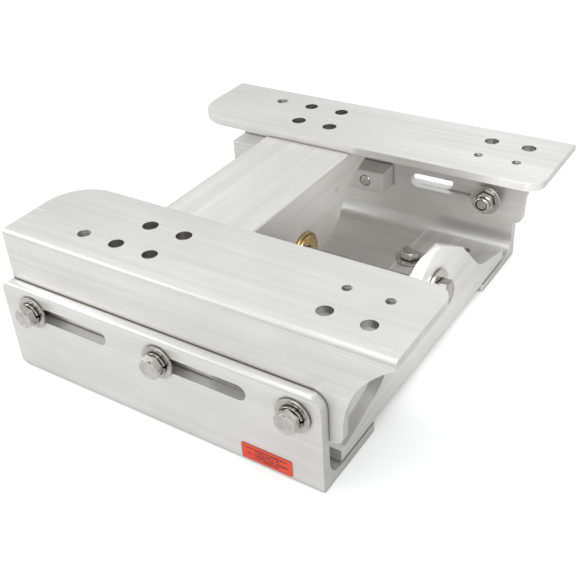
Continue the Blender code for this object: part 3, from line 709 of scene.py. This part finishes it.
def spring_washer(inner, outer, thick, gap=0.22, segments=60):
    """Grid of a split spring washer: a square section carried round most of a circle, rising a little.

    Height at an angle = section height + rise * angle / full turn.
    """
    edge = 0.25
    climb = 0.3
    top = thick - climb
    section = np.array([
        (inner, edge), (inner + edge, 0), (outer - edge, 0), (outer, edge),
        (outer, top - edge), (outer - edge, top), (inner + edge, top), (inner, top - edge),
    ])
    angle = np.linspace(gap / 2, 2 * np.pi - gap / 2, segments)[:, None]
    rise = climb * (angle - angle.min()) / (angle.max() - angle.min())
    radius = section[None, :, 0] + 0 * angle
    skew = 0.12 * section[None, :, 1] / thick
    turn = angle + skew
    return np.stack([radius * np.cos(turn), radius * np.sin(turn), section[None, :, 1] + rise], axis=-1)


def make_spring_washer(node, axis, inner, outer):
    """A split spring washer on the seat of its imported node."""
    grid = spring_washer(inner, outer, length_of(node, axis))
    piece = grid_piece(node + "_fine", grid, seat(node, axis), axis, False, True, capped=True)
    adopt(piece, node, STAINLESS)


def make_nut(node, axis, flat, bore, collar, spin, material):
    """A hex nut, with a rounded collar above the hexagon where the collar is over 0."""
    height = length_of(node, axis) - collar
    corner = flat / math.cos(math.pi / 6) + 0.05
    rows = [(bore, 0, 0), (bore + 0.6, 0, 0), (flat * 0.96, 0, 0), (flat * 0.96, 0.05, flat)]
    rows += [(corner, 0.05 + (corner - flat * 0.96) * 0.55, flat)]
    rows += chamfered(flat, 1.2, height - 0.05)
    rows += [(flat * 0.95, height, 0)]
    top = height
    if collar > 0:
        top = height + collar
        rows += [(flat - 1.5, height + 0.15, 0), (flat - 1.7, top - 1.1, 0), (flat - 2.0, top - 0.45, 0)]
        rows += [(flat - 2.5, top - 0.1, 0), (flat - 2.9, top, 0), (bore + 0.4, top - 0.25, 0)]
    rows += [(bore, top - 0.6, 0)]
    grid = turned(rows, spin=spin)
    adopt(grid_piece(node + "_fine", grid, seat(node, axis), axis, True, True), node, material)


print("jack thread pitch", round(THREAD_PITCH, 3), "mm")

# %% Side bolts, base bolts and their washers
for side_word, outward_axis, inward_axis in (("front", "-Y", "+Y"), ("far", "+Y", "-Y")):
    for number, spin in ((1, 0.30), (2, 0.62), (3, 0.05)):
        place = f"{side_word}_{number}"
        make_washer("flat_washer_" + place, outward_axis, WASHER_RADIUS, HOLE, WASHER_STEEL)
        make_spring_washer("lock_washer_" + place, outward_axis, HOLE, SPRING_WASHER_RADIUS)
        make_bolt("side_bolt_" + place, outward_axis, HEX_FLAT, HEAD_HEIGHT, SHANK, spin)
    make_washer("slide_bush_" + side_word, inward_axis, BUSH_RADIUS, HOLE, WASHER_STEEL)
    make_washer("inner_washer_" + side_word, inward_axis, INNER_WASHER_RADIUS, HOLE, WASHER_STEEL)
    make_nut("lock_nut_" + side_word, inward_axis, HEX_FLAT, HOLE, 3.2, 0.25, STAINLESS)
    make_washer(f"base_washer_{side_word}_1", "+Z", WASHER_RADIUS, HOLE, WASHER_STEEL)
    make_bolt(f"base_bolt_{side_word}_1", "+Z", HEX_FLAT, HEAD_HEIGHT, SHANK, 0.4)
print("side hardware done")

# %% [markdown]
# The jack screw has a real helical thread. Its surface is a grid in height and angle, and the
# radius falls by a triangle wave of (height / pitch - angle / full turn). The wave repeats with
# every pitch and every turn, so the crest climbs as one unbroken helix.

# %% Jack screw, washers and lock nut


def threaded(radius, pitch, depth, low, high, columns=36, rows_per_pitch=8, runout=2.0):
    """Grid of a threaded rod or hole between two heights, fading to plain ends over the runout.

    Radius = crest radius - depth * fade * triangle wave of (height / pitch - angle / full turn).
    """
    rows = int((high - low) / pitch * rows_per_pitch) + 1
    height = np.linspace(low, high, rows)[:, None]
    angle = np.linspace(0, 2 * np.pi, columns, endpoint=False)[None, :]
    phase = (height / pitch - angle / (2 * np.pi)) % 1.0
    wave = np.clip(1.15 * np.abs(2 * phase - 1) - 0.075, 0, 1)
    fade = np.clip(np.minimum(height - low, high - height) / runout, 0, 1)
    reach = radius - depth * fade * wave
    return np.stack([reach * np.cos(angle), reach * np.sin(angle), height + 0 * angle], axis=-1)


def ring_rows(rows, columns):
    """Plain circular rows (radius, height) as a grid with a given number of columns."""
    return turned([(radius, height, 0) for radius, height in rows], segments=columns)


SCREW_COLUMNS = 36
screw_low, screw_high = (np.array(corner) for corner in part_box("jack_screw"))
screw_length = (screw_high[0] - screw_low[0]) / MM - JACK_HEAD
screw_seat = (screw_high[0] - JACK_HEAD * MM, 0.0, (screw_low[2] + screw_high[2]) / 2)
thread_end = -22.0
screw_tip = [
    (0, -screw_length), (JACK_SHANK - 1.5, -screw_length), (JACK_SHANK - 0.1, 1.4 - screw_length),
]
screw_grid = np.concatenate([
    ring_rows(screw_tip, SCREW_COLUMNS),
    threaded(JACK_SHANK, THREAD_PITCH, THREAD_DEPTH, 1.5 - screw_length, thread_end, SCREW_COLUMNS),
    ring_rows([(JACK_SHANK, thread_end + 0.2), (JACK_SHANK, 0)], SCREW_COLUMNS),
    turned(bolt_profile(JACK_FLAT, JACK_HEAD, JACK_SHANK, 1.0)[5:], segments=SCREW_COLUMNS, spin=0.35),
])
adopt(grid_piece("jack_screw_fine", screw_grid, screw_seat, "+X", False, True), "jack_screw", THREAD_STEEL)
make_washer("jack_washer_outer", "+X", JACK_WASHER_RADIUS, JACK_HOLE, WASHER_STEEL)
make_washer("jack_washer_inner", "-X", JACK_WASHER_RADIUS, JACK_HOLE, WASHER_STEEL)
make_nut("jack_lock_nut", "-X", JACK_FLAT, JACK_HOLE, 0.0, 0.2, STAINLESS)
print("screw length under the head", round(screw_length, 1), "mm")

# %% [markdown]
# The brass nut is turned from bar: a barrel through the beam, a thin flange against it and a
# narrower face with a broken edge. A few shallow grooves on the face give it a machined look.

# %% Brass nut
nut_low, nut_high = (np.array(corner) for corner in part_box("brass_nut"))
nut_seat = (nut_high[0] - 4.6 * MM, 0.0, (nut_low[2] + nut_high[2]) / 2)
barrel = (nut_high[0] - nut_low[0]) / MM - 4.6
nut_rows = [
    (JACK_HOLE, -barrel, 0), (14.4, -barrel, 0), (15.0, 0.6 - barrel, 0), (15.0, 0, 0), (21.6, 0, 0),
    (22.0, 0.4, 0), (22.0, 1.6, 0), (21.6, 2.0, 0), (19.1, 2.0, 0), (19.0, 2.1, 0), (19.0, 3.9, 0),
    (18.3, 4.6, 0), (15.2, 4.6, 0), (15.0, 4.4, 0), (14.8, 4.6, 0), (9.6, 4.6, 0), (JACK_HOLE, 3.4, 0),
]
adopt(grid_piece("brass_nut_fine", turned(nut_rows, 96), nut_seat, "+X", True, True), "brass_nut", BRASS)
print("brass barrel", round(barrel, 1), "mm")

# %% [markdown]
# Three holes of each rail are tapped. A thin threaded sleeve just inside each hole shows it: the inner wall
# is the same helical surface as the screw's, and the outer wall is hidden in the rail. Its dark colour is
# painted shade inside the hole.

# %% Tapped holes
RAIL_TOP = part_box("rail_front")[1][2] / MM
TAPPED = ((-121.0, 163.5, 6.4, 2.0), (127.5, 129.4, 4.4, 1.5), (165.6, 129.4, 4.4, 1.5))
# Painted shade: a dark metal for the walls inside the holes.
HOLE_SHADE_LINING = turned_metal("hole_shade_aluminium", (0.50, 0.495, 0.48), (0.26, 0.255, 0.245), 0.34, 1800.0, 0.5)


def tapped_sleeve(name, x, y, radius, pitch):
    """A threaded sleeve in a flange hole, closed over its hidden outer wall."""
    low, high = RAIL_TOP - 7.6, RAIL_TOP - 0.5
    inner = threaded(radius - 0.15, pitch, 0.7, low, high, 32, 8, 0.8)
    outer = ring_rows([(radius + 0.4, high), (radius + 0.4, low)], 32)
    grid = np.concatenate([inner, outer])
    return grid_piece(name, grid, (x * MM, y * MM, 0.0), "+Z", True, True)


for side_word, sign in (("front", -1), ("far", 1)):
    for index, (x, y, radius, pitch) in enumerate(TAPPED, start=1):
        sleeve = tapped_sleeve(f"tapped_{side_word}_{index}", x, sign * y, radius, pitch)
        sleeve.data.materials.append(HOLE_SHADE_LINING)
        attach(sleeve, BODY_OF["rail_" + side_word])
print("tapped holes", 2 * len(TAPPED))

# %% [markdown]
# The motor holes are plain drilled holes. Each gets a thin lining with a drill's fine rings and a rougher
# wall; its dark colour is painted shade inside the hole. The two faint rounds on the beam's plate are shown
# as flush plugs.

# %% Drilled holes and plug welds
DRILLED = (
    (-82.9, 163.5, 7.1), (-44.8, 163.5, 7.1), (127.5, 163.5, 7.1), (165.6, 163.5, 7.1),
    (-75.7, 125.4, 7.5), (-37.6, 125.4, 7.5),
)
PLUG_PLACE = (66.0, 112.5)
PLUG_RADIUS = 3.2

for side_word, sign in (("front", -1), ("far", 1)):
    for index, (x, y, radius) in enumerate(DRILLED, start=1):
        low = RAIL_TOP - 7.7
        high = RAIL_TOP - 0.5
        lining = turned([
            (radius - 0.12, low, 0), (radius - 0.12, high, 0), (radius + 0.05, RAIL_TOP - 0.25, 0),
            (radius + 0.4, high, 0), (radius + 0.4, low, 0),
        ])
        centre = (x * MM, sign * y * MM, 0.0)
        sleeve = grid_piece(f"drilled_{side_word}_{index}", lining, centre, "+Z", True, True)
        sleeve.data.materials.append(HOLE_SHADE_LINING)
        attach(sleeve, BODY_OF["rail_" + side_word])
    plug_rows = [(0, -0.6, 0), (PLUG_RADIUS, -0.6, 0), (PLUG_RADIUS, -0.05, 0), (PLUG_RADIUS - 0.25, 0.12, 0),
                 (PLUG_RADIUS - 0.6, 0.03, 0), (0, 0.03, 0)]
    plug_seat = (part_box("cross_beam")[1][0], sign * PLUG_PLACE[0] * MM, PLUG_PLACE[1] * MM)
    plug = grid_piece("plug_weld_" + side_word, turned(plug_rows, 40), plug_seat, "+X", False, True)
    plug.data.materials.append(BAR_METAL)
    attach(plug, BODY_OF["cross_beam"])
print("drilled holes", 2 * len(DRILLED))

# %% [markdown]
# The label is a thin printed film. Its print is only generic bars: each row of bars is a band of
# height, and a noise along the row breaks it into short lengths.

# %% Label
LABEL_RED = (0.80, 0.050, 0.020)
LABEL_INK = (0.10, 0.012, 0.01)


def label_material():
    """Orange-red film with four broken rows of dark bars."""
    material, tree, shader = new_shader("label_film", LABEL_RED, 0.42, 0.0)
    low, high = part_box("label")
    parts = tree.nodes.new("ShaderNodeSeparateXYZ")
    tree.links.new(object_vector(tree), parts.inputs[0])
    along = remap(tree, parts.outputs[0], low[0], high[0])
    up = remap(tree, parts.outputs[2], low[2], high[2])
    rows = link_math(tree, "MULTIPLY", link_math(tree, "SUBTRACT", up, 0.14), 5.4)
    across = link_math(tree, "SUBTRACT", link_math(tree, "FRACT", rows, None), 0.5)
    in_row = link_math(tree, "ABSOLUTE", across, None)
    bar = link_math(tree, "LESS_THAN", in_row, 0.30)
    row_number = link_math(tree, "FLOOR", rows, None)
    joined = tree.nodes.new("ShaderNodeCombineXYZ")
    tree.links.new(link_math(tree, "MULTIPLY", along, 26.0), joined.inputs[0])
    tree.links.new(link_math(tree, "MULTIPLY", row_number, 3.7), joined.inputs[1])
    gaps = link_math(tree, "GREATER_THAN", noise(tree, joined.outputs[0], 1.0, 1.0), 0.44)
    centred = link_math(tree, "ABSOLUTE", link_math(tree, "SUBTRACT", along, 0.5), None)
    odd = link_math(tree, "PINGPONG", row_number, 1.0)
    reach = link_math(tree, "ADD", link_math(tree, "MULTIPLY", odd, 0.18), 0.24)
    inside = link_math(tree, "LESS_THAN", centred, reach)
    from_middle = link_math(tree, "ABSOLUTE", link_math(tree, "SUBTRACT", up, 0.51), None)
    in_height = link_math(tree, "LESS_THAN", from_middle, 0.37)
    printed = link_math(tree, "MULTIPLY", bar, gaps)
    field = link_math(tree, "MULTIPLY", inside, in_height)
    ink = link_math(tree, "MULTIPLY", printed, field)
    ink = link_math(tree, "MULTIPLY", ink, 0.85)
    fade = remap(tree, noise(tree, object_vector(tree), 60.0, 3.0), 0.3, 0.7)
    film = mix_colour(tree, fade, LABEL_RED, (0.88, 0.075, 0.03))
    tree.links.new(mix_colour(tree, ink, film, LABEL_INK), shader.inputs["Base Color"])
    return material


frame["nodes"]["label"].data.materials.clear()
frame["nodes"]["label"].data.materials.append(label_material())
